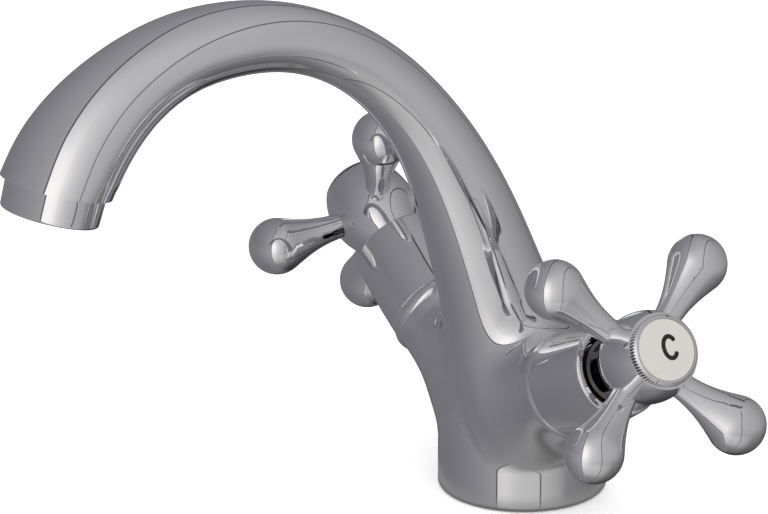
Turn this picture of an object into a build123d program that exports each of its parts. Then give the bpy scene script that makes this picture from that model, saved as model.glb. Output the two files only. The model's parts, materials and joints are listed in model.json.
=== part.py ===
"""Basin mixer tap with a swan-neck spout, two cross handles and ceramic disc valves.

Millimetres. The origin is the centre of the base's underside, where the tap stands on its
basin, +Z is up, the spout points along -Y, the cold valve is on +X and the hot one on -X.
"""
from build123d import *
from build123d.topology import SkipClean
import math
import os

# Base and spout
BASE_RADIUS = 22.5
BASE_HEIGHT = 10.0
BASE_EDGE = 1.2
# The column and spout: y, z and outer radius of each round section along their centre line
SPOUT_SECTIONS = (
    (0.0, BASE_HEIGHT, BASE_RADIUS),
    (0.0, 15.0, 22.45),
    (-0.7, 24.0, 21.5),
    (-2.6, 34.0, 19.2),
    (-5.6, 45.0, 16.8),
    (-9.2, 56.0, 14.9),
    (-14.5, 71.2, 13.45),
    (-22.3, 90.1, 11.6),
    (-33.7, 109.0, 9.6),
    (-51.6, 126.0, 8.6),
    (-69.8, 134.4, 8.8),
    (-88.6, 136.8, 9.7),
    (-103.6, 134.8, 10.5),
    (-116.3, 129.2, 11.6),
    (-126.8, 121.0, 13.1),
)
SPOUT_RINGS = 48
# The first of the sections above that the water way runs through
PASSAGE_START = 7
# Where the casting's skin is divided into smaller faces: heights on the column, shares of the spout
COLUMN_DIVISIONS = (20.0, 44.0, 54.0)
SPOUT_DIVISIONS = (0.25, 0.46, 0.74)
PASSAGE_RADIUS = 5.5

# Outlet at the spout's tip
OUTLET_Y = -137.2
OUTLET_Z = 106.6
OUTLET_TILT = 16.3
LIP_RADIUS = 14.4
SOCKET_RADIUS = 10.8
SOCKET_DEPTH = 6.5
COLLAR_RADIUS = 12.9
COLLAR_END_RADIUS = 12.6
COLLAR_HEIGHT = 7.7
COLLAR_BORE = 9.8
SCREEN_HOLE_PITCH = 3.2
SCREEN_HOLE_RADIUS = 1.1

# Valves: both axes start at one point of the mid-plane, rise outwards and lean a little forward
VALVE_Y = -4.2
VALVE_Z = 21.1
VALVE_RISE = 28.7
VALVE_SWEEP = 1.4
SIDES = {"cold": 1, "hot": -1}

# Distances along a valve's axis from its start
CHAMBER_FLOOR = 19.0
BOSS_FACE = 38.6
GLAND_END = 61.5
SHROUD_RIM = 63.0
BELL_END = 63.3
ARM_PLANE = 76.7
HUB_FRONT = 85.9
INDEX_FACE = 87.8

# Valve bosses and shrouds
BOSS_RADIUS = 13.5
# The boss's root spreads downwards into the body: distance along the axis, half width, half height
# and drop of the centre of each oval section
BOSS_ROOT = (
    (8.0, 15.5, 19.5, 3.5),
    (12.0, 14.5, 17.0, 2.6),
    (18.0, 13.9, 15.0, 1.3),
    (24.0, 13.6, 13.9, 0.35),
    (30.0, BOSS_RADIUS, BOSS_RADIUS, 0.0),
)
BOSS_BLEND = 9.0
BEAD_RADIUS = 14.25
CHAMBER_RADIUS = 9.0
THREAD_RADIUS = 10.2
THREAD_START = 28.0
SHROUD_FOOT_RADIUS = 13.8
SHROUD_MIDDLE_RADIUS = 13.45
SHROUD_RIM_RADIUS = 12.65
SHROUD_BORE = 11.6
SHROUD_MOUTH = 9.5

# Cartridges
CARRIER_BORE = 7.25
FIXED_DISC_RADIUS = 7.15
MOVING_DISC_RADIUS = 6.9
SPINDLE_RADIUS = 4.5
RUNNING_GAP = 0.05
PORT_RADIUS = 1.9
PORT_OFFSET = 3.7
GLAND_FLOOR = 52.0
SPLINE_TEETH = 20
SPLINE_RADIUS = 4.0
SPLINE_DEPTH = 0.45
SPINDLE_END = 76.0

# Handles: angle of the first arm about the valve's axis at rest, from the +Y side
ARM_ANGLE = {"cold": 43.8, "hot": 77.8}
ARM_COUNT = 4
ARM_BALL_OFFSET = 29.85
ARM_BALL_RADIUS = 7.75
ARM_NECK_RADIUS = 3.45
ARM_RAKE = 2.4
HUB_RADIUS = 11.8
BELL_RADIUS = 6.9
HUB_FRONT_RADIUS = 9.9
INDEX_RADIUS = 8.0
KNURL_RADIUS = 9.4
KNURL_TEETH = 72
KNURL_DEPTH = 0.5
LETTER_DEPTH = 0.3
LETTER_HEIGHT = 6.8
LETTER_WIDTH = 4.7
LETTER_STROKE = 1.2
LETTER_PLACE = (1.1, 0.45)

# Water inlets and the kit that clamps the tap to a basin
INLET_X = 8.0
INLET_Y = -4.5
INLET_RADIUS = 4.5
INLET_DEPTH = 12.0
SUPPLY_RADIUS = 3.2
STUD_Y = 8.0
STUD_RADIUS = 4.0
STUD_TOP = 12.0
STUD_BOTTOM = -48.0
SEAL_RING_RADIUS = 19.4
SEAL_CORD_RADIUS = 0.8
BASIN_THICKNESS = 12.0
CLAMP_RADIUS = 21.0
CLAMP_SLOT_WIDTH = 27.0
CLAMP_SLOT_END = 1.5
GASKET_THICKNESS = 2.5
PLATE_THICKNESS = 2.0
NUT_FLATS = 13.0
NUT_HEIGHT = 8.0
THREAD_CLEARANCE = 0.05


def valve_plane(side):
    """The plane whose Z is the valve's axis and whose X is the +Y direction squared up to it."""
    rise = math.radians(VALVE_RISE)
    sweep = math.radians(VALVE_SWEEP)
    axis = Vector(
        side * math.cos(rise) * math.cos(sweep),
        -math.sin(sweep),
        math.sin(rise) * math.cos(sweep),
    )
    back = Vector(0, 1, 0) - axis * axis.Y
    return Plane(origin=(0, VALVE_Y, VALVE_Z), x_dir=back, z_dir=axis)


def outlet_plane():
    """The plane of the spout's lip, with Z out of the spout."""
    tilt = math.radians(OUTLET_TILT)
    return Plane(
        origin=(0, OUTLET_Y, OUTLET_Z),
        x_dir=(1, 0, 0),
        z_dir=(0, -math.sin(tilt), -math.cos(tilt)),
    )


def rod(radius, start, end):
    """A round bar along Z."""
    return Pos(0, 0, start) * Cylinder(radius, end - start, align=(Align.CENTER, Align.CENTER, Align.MIN))


def tube(outer, inner, start, end):
    """A round tube along Z."""
    return rod(outer, start, end) - rod(inner, start - 1, end + 1)


def hexagon_bar(flats, start, end):
    """A hexagonal bar along Z, of that width across its flats."""
    outline = RegularPolygon(flats / 2, 6, major_radius=False)
    return Pos(0, 0, start) * extrude(outline, end - start)


def toothed_bar(radius, depth, teeth, start, end):
    """A bar along Z with straight V-shaped teeth all round, as on a spline or a knurl."""
    step = math.pi / teeth
    corners = [
        ((radius - depth * (i % 2)) * math.cos(i * step), (radius - depth * (i % 2)) * math.sin(i * step))
        for i in range(2 * teeth)
    ]
    return Pos(0, 0, start) * extrude(make_face(Polyline(*corners, close=True)), end - start)


def turned(outline):
    """The solid turned from an outline of (radius, height) edges that closes along the axis."""
    return revolve(Plane.XZ * make_face(outline), Axis.Z)


def spout_rail():
    """A curve whose y and z follow the spout's centre line while its x is the spout's radius."""
    return Spline(*[(radius, y, z) for y, z, radius in SPOUT_SECTIONS], (LIP_RADIUS, OUTLET_Y, OUTLET_Z))


def spout_plane(share):
    """The plane across the spout at that share of its length."""
    place = spout_rail().position_at(share)
    heading = spout_rail().tangent_at(share)
    return Plane(origin=(0, place.Y, place.Z), x_dir=(1, 0, 0), z_dir=(0, heading.Y, heading.Z))


def spout_skin():
    """The column and spout: round rings along the rail, level at the foot and square to the lip."""
    rail = spout_rail()
    rings = [Pos(0, 0, SPOUT_SECTIONS[0][1]) * Circle(SPOUT_SECTIONS[0][2])]
    for number in range(1, SPOUT_RINGS - 1):
        share = number / (SPOUT_RINGS - 1)
        rings.append(spout_plane(share) * Circle(rail.position_at(share).X))
    rings.append(outlet_plane() * Circle(LIP_RADIUS))
    return loft(rings)


def body_casting():
    """Base, valve bosses and spout: one casting, hollow inside."""
    hollows = [spout_passage(), outlet_plane() * rod(SOCKET_RADIUS, -SOCKET_DEPTH, 5)]
    for side in SIDES.values():
        hollows.append(valve_plane(side) * boss_bore())
        hollows.append(Pos(side * INLET_X, INLET_Y, 0) * rod(INLET_RADIUS, -1, INLET_DEPTH))
        hollows.append(Pos(side * INLET_X, INLET_Y, 0) * rod(SUPPLY_RADIUS, 1, 26))
    hollows.append(Pos(0, STUD_Y, 0) * rod(STUD_RADIUS + THREAD_CLEARANCE, -1, STUD_TOP + 1))
    groove = SEAL_CORD_RADIUS + 0.1
    hollows.append(tube(SEAL_RING_RADIUS + groove, SEAL_RING_RADIUS - groove, -1, 2 * groove))
    skin = body_skin()
    with SkipClean():
        casting = divided(skin)
        for hollow in hollows:
            casting -= hollow
    return casting


def divided(skin):
    """The same form with its skin divided across the column and the spout."""
    cuts = [Plane.XY.offset(height) for height in COLUMN_DIVISIONS]
    cuts += [spout_plane(share) for share in SPOUT_DIVISIONS]
    whole = None
    for cut in cuts:
        below = split(skin, bisect_by=cut, keep=Keep.BOTTOM)
        skin = split(skin, bisect_by=cut, keep=Keep.TOP)
        whole = whole + below if whole else below
    return whole + skin


def body_skin():
    """The casting's outer form: the spout rises from the base and both bosses blend into it."""
    base = rod(BASE_RADIUS, 0, BASE_HEIGHT)
    base = fillet(base.edges().sort_by(Axis.Z)[0], BASE_EDGE)
    column = base + spout_skin()
    bosses = [valve_plane(side) * boss(side) for side in SIDES.values()]
    skin = column + bosses
    return fillet(new_edges(column, *bosses, combined=skin), BOSS_BLEND)


def boss(side):
    """A valve boss: an oval root inside the body, a round end with a rounded bead."""
    rings = [Pos(0, -side * drop, d) * Ellipse(width, height) for d, width, height, drop in BOSS_ROOT]
    root_end = BOSS_ROOT[-1][0]
    bead_start = BOSS_FACE - 3.2
    bead_middle = BOSS_FACE - 1.5
    outline = [
        Line((0, root_end), (BOSS_RADIUS, root_end)),
        Line((BOSS_RADIUS, root_end), (BOSS_RADIUS, bead_start)),
        ThreePointArc((BOSS_RADIUS, bead_start), (BEAD_RADIUS, bead_middle), (SHROUD_FOOT_RADIUS, BOSS_FACE)),
        Line((SHROUD_FOOT_RADIUS, BOSS_FACE), (0, BOSS_FACE)),
        Line((0, BOSS_FACE), (0, root_end)),
    ]
    return loft(rings) + turned(outline)


def boss_bore():
    """The valve's seat bore, its chamber and the threaded mouth."""
    seat_radius = 5.0
    return (
        rod(seat_radius, 9.0, CHAMBER_FLOOR + 1)
        + rod(CHAMBER_RADIUS, CHAMBER_FLOOR, THREAD_START + 1)
        + rod(THREAD_RADIUS, THREAD_START, BOSS_FACE + 1)
    )


def spout_passage():
    """The water way from the two valve chambers up the column and out at the tip."""
    start = (0, -5.0, 41.0)
    way = [start] + [(0, y, z) for y, z, radius in SPOUT_SECTIONS[PASSAGE_START:]] + [(0, OUTLET_Y, OUTLET_Z)]
    path = Spline(*way)
    mouth = Plane(origin=start, z_dir=path % 0)
    passage = sweep(mouth * Circle(PASSAGE_RADIUS), path)
    passage += Pos(*start) * Sphere(PASSAGE_RADIUS)
    for side in SIDES.values():
        chamber = (side * 19.0, VALVE_Y - 0.4, 38.0)
        run = Vector(*chamber) - Vector(*start)
        link = Plane(origin=start, z_dir=run) * rod(3.0, 0, run.length)
        passage += link
    return passage


def base_seal():
    """The O-ring in the underside of the base."""
    return Pos(0, 0, SEAL_CORD_RADIUS + 0.05) * Torus(SEAL_RING_RADIUS, SEAL_CORD_RADIUS)


def horseshoe(thickness, top):
    """A round plate with a wide slot for the supply hoses and a hole for the stud."""
    plate = rod(CLAMP_RADIUS, top - thickness, top)
    slot = Box(CLAMP_SLOT_WIDTH, 2 * CLAMP_RADIUS, 3 * thickness, align=(Align.CENTER, Align.MAX, Align.CENTER))
    plate -= Pos(0, CLAMP_SLOT_END, top - thickness / 2) * slot
    stud_hole = Pos(0, STUD_Y, 0) * rod(STUD_RADIUS + 0.3, top - 2 * thickness, top + thickness)
    return plate - stud_hole


def clamp_gasket():
    """The rubber pad between basin and clamp plate."""
    return horseshoe(GASKET_THICKNESS, -BASIN_THICKNESS)


def clamp_plate():
    """The steel plate that bears on the gasket."""
    return horseshoe(PLATE_THICKNESS, -BASIN_THICKNESS - GASKET_THICKNESS)


def clamp_nut():
    """The hexagon nut under the clamp plate, chamfered at both ends."""
    top = -BASIN_THICKNESS - GASKET_THICKNESS - PLATE_THICKNESS
    bottom = top - NUT_HEIGHT
    corner = NUT_FLATS / math.sqrt(3)
    blank = chamfer(rod(corner, bottom, top).edges(), 0.7)
    nut = hexagon_bar(NUT_FLATS, bottom, top) & blank
    nut -= rod(STUD_RADIUS + THREAD_CLEARANCE, bottom - 1, top + 1)
    return Pos(0, STUD_Y, 0) * nut


def fixing_stud():
    """The stud screwed into the base, with a screwdriver slot in its lower end."""
    stud = chamfer(rod(STUD_RADIUS, STUD_BOTTOM, STUD_TOP).edges(), 0.6)
    stud -= Pos(0, 0, STUD_BOTTOM) * Box(1.2, 2.5 * STUD_RADIUS, 4.0)
    return Pos(0, STUD_Y, 0) * stud


def aerator_housing():
    """The chromed collar, with the thread that screws into the spout's tip."""
    collar = Cone(COLLAR_RADIUS, COLLAR_END_RADIUS, COLLAR_HEIGHT, align=(Align.CENTER, Align.CENTER, Align.MIN))
    collar = fillet(collar.edges().sort_by(Axis.Z)[-1], 0.7)
    thread = rod(SOCKET_RADIUS - THREAD_CLEARANCE, -SOCKET_DEPTH + 1.2, 1)
    housing = collar + thread
    housing -= rod(COLLAR_BORE, -SOCKET_DEPTH, COLLAR_HEIGHT - 0.9)
    housing -= rod(COLLAR_BORE - 0.8, 0, COLLAR_HEIGHT + 1)
    return housing


def aerator_washer():
    """The flat rubber ring between the housing and the floor of the socket."""
    return tube(SOCKET_RADIUS - 0.2, COLLAR_BORE - 1.6, -SOCKET_DEPTH, -SOCKET_DEPTH + 1.15)


def aerator_insert():
    """The plastic jet former: a cup whose floor has a ring of small jets."""
    top = -SOCKET_DEPTH + 1.2
    outer = COLLAR_BORE - 0.1
    cup = rod(outer, top, 3.0) - rod(outer - 1.2, top - 1, 1.4)
    jets = PolarLocations(5.2, 12)
    for place in jets:
        cup -= place * rod(0.7, 0, 4)
    return cup


def aerator_screen():
    """The plastic outlet grid at the collar's mouth."""
    screen = rod(COLLAR_BORE - 0.1, 3.6, COLLAR_HEIGHT - 0.95)
    reach = COLLAR_BORE - 1.4 - SCREEN_HOLE_RADIUS
    steps = range(-3, 4)
    for row in steps:
        for column in steps:
            x = SCREEN_HOLE_PITCH * (column + 0.5 * (row % 2))
            y = SCREEN_HOLE_PITCH * row * math.sqrt(3) / 2
            if math.hypot(x, y) < reach:
                screen -= Pos(x, y, 0) * rod(SCREEN_HOLE_RADIUS, 3, COLLAR_HEIGHT)
    return screen


def valve_shroud():
    """The chromed sleeve over the cartridge, drawn in a little towards its rounded rim."""
    rim_edge = 0.9
    outline = [
        Line((SHROUD_BORE, BOSS_FACE), (SHROUD_FOOT_RADIUS - 0.3, BOSS_FACE)),
        Line((SHROUD_FOOT_RADIUS - 0.3, BOSS_FACE), (SHROUD_FOOT_RADIUS, BOSS_FACE + 0.3)),
        ThreePointArc(
            (SHROUD_FOOT_RADIUS, BOSS_FACE + 0.3),
            (SHROUD_MIDDLE_RADIUS, 0.55 * BOSS_FACE + 0.45 * SHROUD_RIM),
            (SHROUD_RIM_RADIUS, SHROUD_RIM - rim_edge),
        ),
        ThreePointArc(
            (SHROUD_RIM_RADIUS, SHROUD_RIM - rim_edge),
            (SHROUD_RIM_RADIUS - 0.3, SHROUD_RIM - 0.28),
            (SHROUD_RIM_RADIUS - rim_edge, SHROUD_RIM),
        ),
        Line((SHROUD_RIM_RADIUS - rim_edge, SHROUD_RIM), (SHROUD_MOUTH + 1.5, SHROUD_RIM)),
        Line((SHROUD_MOUTH + 1.5, SHROUD_RIM), (SHROUD_MOUTH, SHROUD_RIM - 1.0)),
        Line((SHROUD_MOUTH, SHROUD_RIM - 1.0), (SHROUD_MOUTH, SHROUD_RIM - 2.6)),
        Line((SHROUD_MOUTH, SHROUD_RIM - 2.6), (SHROUD_BORE, SHROUD_RIM - 4.2)),
        Line((SHROUD_BORE, SHROUD_RIM - 4.2), (SHROUD_BORE, BOSS_FACE)),
    ]
    return turned(outline)


def cartridge_body():
    """The brass valve body: disc carrier with side windows, thread, flange, hexagon and gland."""
    flange = BOSS_FACE + 1.2
    gland_radius = SHROUD_MOUTH - 0.5
    body = rod(8.2, CHAMBER_FLOOR + 2.0, THREAD_START + 2)
    body += rod(THREAD_RADIUS - THREAD_CLEARANCE, THREAD_START + 1, flange)
    body += rod(11.2, flange, flange + 2.2)
    body += hexagon_bar(19.0, flange + 2.2, flange + 8.2)
    body += rod(gland_radius, flange + 8.2, GLAND_END)
    body -= rod(CARRIER_BORE, CHAMBER_FLOOR, CHAMBER_FLOOR + 11.0)
    body -= rod(SPINDLE_RADIUS + RUNNING_GAP, CHAMBER_FLOOR, GLAND_END + 1)
    body -= rod(gland_radius - 1.0, GLAND_FLOOR, GLAND_END + 1)
    window_width = 7.0
    window_height = 3.4
    body -= Pos(0, 0, CHAMBER_FLOOR + 6.4) * Box(30.0, window_width, window_height)
    return body


def seat_seal():
    """The rubber ring that seals the cartridge to its seat."""
    return tube(8.1, 5.4, CHAMBER_FLOOR, CHAMBER_FLOOR + 1.95)


def cartridge_washer():
    """The fibre washer between cartridge flange and boss."""
    return tube(11.3, THREAD_RADIUS + 0.1, BOSS_FACE, BOSS_FACE + 1.2)


def fixed_disc():
    """The lower ceramic disc, which lets water up through two holes."""
    disc = rod(FIXED_DISC_RADIUS, CHAMBER_FLOOR + 2.0, CHAMBER_FLOOR + 4.7)
    for place in PolarLocations(PORT_OFFSET, 2):
        disc -= place * rod(PORT_RADIUS, CHAMBER_FLOOR, CHAMBER_FLOOR + 6)
    return disc


def moving_disc():
    """The upper ceramic disc: it closes the holes below, or leads them out at its two notches."""
    low = CHAMBER_FLOOR + 4.72
    high = CHAMBER_FLOOR + 8.0
    disc = rod(MOVING_DISC_RADIUS, low, high)
    notch_depth = 1.9
    for place in PolarLocations(PORT_OFFSET + 2.0, 2, start_angle=90):
        disc -= place * Pos(0, 0, low) * Box(8.0, 2 * PORT_RADIUS, 2 * notch_depth)
    for place in PolarLocations(4.6, 2):
        disc -= place * rod(1.3, high - 1.4, high + 1)
    return disc


def spindle():
    """The brass spindle: driving pegs, flange, ring grooves, clip groove and splined end."""
    flange_low = CHAMBER_FLOOR + 8.0
    flange_high = CHAMBER_FLOOR + 10.5
    shaft = rod(MOVING_DISC_RADIUS, flange_low, flange_high)
    for place in PolarLocations(4.6, 2):
        shaft += place * rod(1.2, flange_low - 1.3, flange_low + 0.5)
    shaft += rod(SPINDLE_RADIUS, flange_high, GLAND_FLOOR + 2.0)
    shaft += rod(SPLINE_RADIUS, GLAND_FLOOR + 2.0, BELL_END + 1)
    shaft += toothed_bar(SPLINE_RADIUS, SPLINE_DEPTH, SPLINE_TEETH, BELL_END + 1, SPINDLE_END)
    for groove in ring_grooves():
        shaft -= tube(SPINDLE_RADIUS + 1, 3.3, groove - 0.8, groove + 0.8)
    shaft -= tube(SPINDLE_RADIUS + 1, 3.7, GLAND_FLOOR + 0.1, GLAND_FLOOR + 1.0)
    return shaft - rod(2.0, SPINDLE_END - 9, SPINDLE_END + 1)


def ring_grooves():
    """Where the spindle's two O-rings sit along the axis."""
    return GLAND_FLOOR - 8.0, GLAND_FLOOR - 3.5


def spindle_rings():
    """The two O-rings on the spindle."""
    cord = 0.6
    return [Pos(0, 0, groove) * Torus(3.92, cord) for groove in ring_grooves()]


def thrust_washer():
    """The slip washer between the spindle's flange and the cartridge shoulder."""
    return tube(MOVING_DISC_RADIUS, SPINDLE_RADIUS + 0.1, CHAMBER_FLOOR + 10.5, CHAMBER_FLOOR + 10.97)


def spindle_clip():
    """The open ring that keeps the spindle in the cartridge."""
    low = GLAND_FLOOR + 0.15
    high = GLAND_FLOOR + 0.95
    clip = tube(6.2, 3.75, low, high)
    return clip - Pos(5.0, 0, (low + high) / 2) * Box(6.0, 3.0, 3.0)


def handle_arm():
    """One club-shaped arm along X: a slim neck that swells into a ball."""
    join = math.radians(112)
    start = ARM_BALL_OFFSET + ARM_BALL_RADIUS * math.cos(join)
    height = ARM_BALL_RADIUS * math.sin(join)
    top = math.radians(50)
    crown = (ARM_BALL_OFFSET + ARM_BALL_RADIUS * math.cos(top), ARM_BALL_RADIUS * math.sin(top))
    tip = (ARM_BALL_OFFSET + ARM_BALL_RADIUS, 0)
    root = 8.0
    neck = 11.5
    outline = [
        Line((root, 0), (root, ARM_NECK_RADIUS)),
        Line((root, ARM_NECK_RADIUS), (neck, ARM_NECK_RADIUS)),
        Spline(
            (neck, ARM_NECK_RADIUS),
            (start, height),
            tangents=[(1, 0.02), (math.sin(join), -math.cos(join))],
        ),
        ThreePointArc((start, height), crown, tip),
        Line(tip, (root, 0)),
    ]
    return revolve(make_face(outline), Axis.X)


def handle(name):
    """A cross handle: a bell-shaped hub with four arms, bored for spindle, screw and index cap.

    The arms rake outwards a little, so their balls stand further out than their roots.
    """
    outline = [
        Line((0, BELL_END), (BELL_RADIUS, BELL_END)),
        Spline(
            (BELL_RADIUS, BELL_END),
            (BELL_RADIUS + 1.75, BELL_END + 3.4),
            (HUB_RADIUS, ARM_PLANE - 1.5),
            (HUB_FRONT_RADIUS, HUB_FRONT),
            tangents=[(0.5, 1), (-0.5, 1)],
        ),
        Line((HUB_FRONT_RADIUS, HUB_FRONT), (0, HUB_FRONT)),
        Line((0, HUB_FRONT), (0, BELL_END)),
    ]
    casting = turned(outline)
    for turn in range(ARM_COUNT):
        angle = ARM_ANGLE[name] + turn * 360 / ARM_COUNT
        raked = Pos(ARM_BALL_OFFSET, 0, ARM_PLANE) * Rot(0, -ARM_RAKE, 0) * Pos(-ARM_BALL_OFFSET, 0, 0)
        casting += Rot(0, 0, angle) * raked * handle_arm()
    casting -= rod(BELL_RADIUS - 1.6, BELL_END - 1, BELL_END + 2.0)
    spline_bore = SPLINE_RADIUS + RUNNING_GAP
    casting -= toothed_bar(spline_bore, SPLINE_DEPTH, SPLINE_TEETH, BELL_END + 1, SPINDLE_END + 0.3)
    casting -= rod(2.1, SPINDLE_END, HUB_FRONT)
    casting -= rod(INDEX_RADIUS, SPINDLE_END + 2.0, HUB_FRONT + 1)
    return casting


def handle_screw():
    """The slotted screw that holds the handle on its spindle."""
    seat = SPINDLE_END + 2.0
    head = fillet(rod(3.6, seat, seat + 2.4).edges().sort_by(Axis.Z)[-1], 0.6)
    screw = head + rod(1.95, SPINDLE_END - 7.5, seat)
    return screw - Pos(0, 0, seat + 2.4) * Box(0.9, 8, 2.0)


def index_cap():
    """The chromed cap pushed into the hub: a knurled edge, a bevel and a seat for the disc."""
    spigot = INDEX_RADIUS - RUNNING_GAP
    seat = INDEX_FACE - 1.4
    bevel_start = INDEX_FACE - 0.9
    outline = [
        Line((0, HUB_FRONT - 2.4), (spigot, HUB_FRONT - 2.4)),
        Line((spigot, HUB_FRONT - 2.4), (spigot, HUB_FRONT)),
        Line((spigot, HUB_FRONT), (KNURL_RADIUS, HUB_FRONT)),
        Line((KNURL_RADIUS, HUB_FRONT), (KNURL_RADIUS, bevel_start)),
        Line((KNURL_RADIUS, bevel_start), (INDEX_RADIUS + 0.45, INDEX_FACE - 0.1)),
        Line((INDEX_RADIUS + 0.45, INDEX_FACE - 0.1), (0, INDEX_FACE - 0.1)),
        Line((0, INDEX_FACE - 0.1), (0, HUB_FRONT - 2.4)),
    ]
    knurl = toothed_bar(KNURL_RADIUS, KNURL_DEPTH, KNURL_TEETH, HUB_FRONT - 3, INDEX_FACE + 1)
    cap = turned(outline) & knurl
    return cap - rod(INDEX_RADIUS + RUNNING_GAP, seat, INDEX_FACE + 1)


def letter_outline(name):
    """The function letter, C for cold or H for hot, drawn upright in the local XY plane."""
    wide = (LETTER_WIDTH - LETTER_STROKE) / 2
    high = (LETTER_HEIGHT - LETTER_STROKE) / 2
    half_stroke = LETTER_STROKE / 2
    if name == "cold":
        wide *= 1.05
        tip_angle = math.radians(42)
        tip_x, tip_y = wide * math.cos(tip_angle), high * math.sin(tip_angle)
        ring = Ellipse(wide + half_stroke, high + half_stroke) - Ellipse(wide - half_stroke, high - half_stroke)
        opening = Polygon((0, 0), (3 * tip_x, -3 * tip_y), (3 * tip_x, 3 * tip_y), align=None)
        tips = [Pos(tip_x, y) * Circle(half_stroke) for y in (tip_y, -tip_y)]
        return ring - opening + tips
    upright = Rectangle(LETTER_STROKE, LETTER_HEIGHT)
    bar = Rectangle(2 * wide, LETTER_STROKE)
    return Pos(-wide, 0) * upright + Pos(wide, 0) * upright + bar


def index_letter(name):
    """The letter's filling, flush with the face of the disc."""
    turn = 0 if name == "cold" else 180
    outline = Rot(0, 0, turn) * Pos(*LETTER_PLACE) * letter_outline(name)
    return Pos(0, 0, INDEX_FACE - LETTER_DEPTH) * extrude(outline, LETTER_DEPTH)


def index_disc(name):
    """The off-white disc, engraved for its letter."""
    disc = fillet(rod(INDEX_RADIUS, INDEX_FACE - 1.4, INDEX_FACE).edges().sort_by(Axis.Z)[-1], 0.35)
    return disc - index_letter(name)


def write(node, shape):
    """Writes one sub-part, a single shape or a list of separate solids."""
    shapes = shape if isinstance(shape, list) else [shape]
    solids = [solid for item in shapes for solid in item.solids()]
    whole = solids[0] if len(solids) == 1 else Compound(children=solids)
    export_step(whole, f"parts/{node}.step")


def main():
    os.makedirs("parts", exist_ok=True)
    write("body_casting", body_casting())
    write("base_seal", base_seal())
    write("fixing_stud", fixing_stud())
    write("clamp_gasket", clamp_gasket())
    write("clamp_plate", clamp_plate())
    write("clamp_nut", clamp_nut())

    outlet = outlet_plane()
    for node, make in (
        ("aerator_housing", aerator_housing),
        ("aerator_washer", aerator_washer),
        ("aerator_insert", aerator_insert),
        ("aerator_screen", aerator_screen),
    ):
        write(node, outlet * make())

    for name, side in SIDES.items():
        place = valve_plane(side)
        for node, make in (
            ("valve_shroud", valve_shroud),
            ("cartridge_body", cartridge_body),
            ("seat_seal", seat_seal),
            ("cartridge_washer", cartridge_washer),
            ("fixed_disc", fixed_disc),
            ("moving_disc", moving_disc),
            ("spindle", spindle),
            ("thrust_washer", thrust_washer),
            ("spindle_clip", spindle_clip),
            ("handle_screw", handle_screw),
            ("index_cap", index_cap),
        ):
            write(f"{name}_{node}", place * make())
        write(f"{name}_spindle_rings", [place * ring for ring in spindle_rings()])
        write(f"{name}_handle", place * handle(name))
        write(f"{name}_index_disc", place * index_disc(name))
        write(f"{name}_letter", place * index_letter(name))


main()
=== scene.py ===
"""A chromed basin mixer tap with a swan-neck spout and two cross handles, on a pale floor.

Metres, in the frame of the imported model: the origin is under the middle of the base, +Z is up,
the spout points along -Y, the cold handle is on +X and the hot one on -X.
"""
import json
import math

import bmesh
import bpy
import numpy as np
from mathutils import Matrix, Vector


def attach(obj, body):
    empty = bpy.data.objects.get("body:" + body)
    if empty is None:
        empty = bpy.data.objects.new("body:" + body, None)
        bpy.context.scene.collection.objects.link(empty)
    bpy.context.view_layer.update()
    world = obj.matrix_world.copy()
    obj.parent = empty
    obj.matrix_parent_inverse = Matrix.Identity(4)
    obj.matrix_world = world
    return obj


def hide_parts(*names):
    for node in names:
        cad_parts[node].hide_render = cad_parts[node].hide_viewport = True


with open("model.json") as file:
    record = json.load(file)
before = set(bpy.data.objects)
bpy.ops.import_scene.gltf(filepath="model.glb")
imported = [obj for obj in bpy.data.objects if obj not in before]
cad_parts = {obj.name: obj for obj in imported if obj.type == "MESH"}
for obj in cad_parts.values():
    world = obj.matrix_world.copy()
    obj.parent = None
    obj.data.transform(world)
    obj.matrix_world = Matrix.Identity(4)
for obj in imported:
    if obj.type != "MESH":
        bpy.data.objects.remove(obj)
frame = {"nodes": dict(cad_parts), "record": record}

# Millimetres in a metre
MM = 1000.0

# Camera, fitted to the tap's outline in the photograph: angles in degrees, lens in millimetres
CAMERA_AZIMUTH = 59.23
CAMERA_ELEVATION = 19.28
CAMERA_DISTANCE = 1.3345
CAMERA_AIM = Vector((-0.01146, -0.03608, 0.06656))
CAMERA_LENS = 239.48

# Surroundings: strength of the white background, the lamp's place, the floor's width and depth
SURROUNDINGS_STRENGTH = 1.3
LAMP_PLACE = (0.4, -0.5, 1.3)
FLOOR_SIZE = 60.0
FLOOR_DEPTH = 0.0001

# Light tent: a dome round the tap that only shows in its reflections
TENT_CENTRE = Vector((0.0, -0.03, 0.06))
TENT_RADIUS = 0.30
# Level directions (x, y) across the opening and across its right seam
TENT_ACROSS = (0.795, 0.606)
TENT_BESIDE = (0.584, 0.812)
# Each dark seam: its place along its direction and its half width
LEFT_SEAM = (-0.175, 0.026)
RIGHT_SEAM = (0.56, 0.022)
# The bright spot behind the hot handle: its direction, and where its edge starts and ends
BACK_SPOT = (-0.84, 0.52, 0.12)
BACK_SPOT_EDGE = (0.14, 0.07)
# Brightness of the opening by height: place is (height in degrees + 90) / 180
OPENING_PROFILE = (
    (0.05, 0.0),
    (0.17, 0.12),
    (0.28, 0.25),
    (0.36, 0.45),
    (0.44, 0.80),
    (0.52, 0.97),
    (0.60, 1.0),
    (0.67, 0.78),
    (0.72, 0.50),
    (0.78, 0.22),
    (0.84, 0.08),
    (0.90, 0.0),
)
# Brightness of the opening from its left seam to the right: place is (distance across + 1) / 2
OPENING_FALL = (
    (0.412, 0.0),
    (0.422, 1.0),
    (0.50, 1.0),
    (0.57, 0.84),
    (0.61, 0.60),
    (0.70, 0.32),
    (0.78, 0.17),
    (0.87, 0.04),
    (0.95, 0.0),
)

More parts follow.
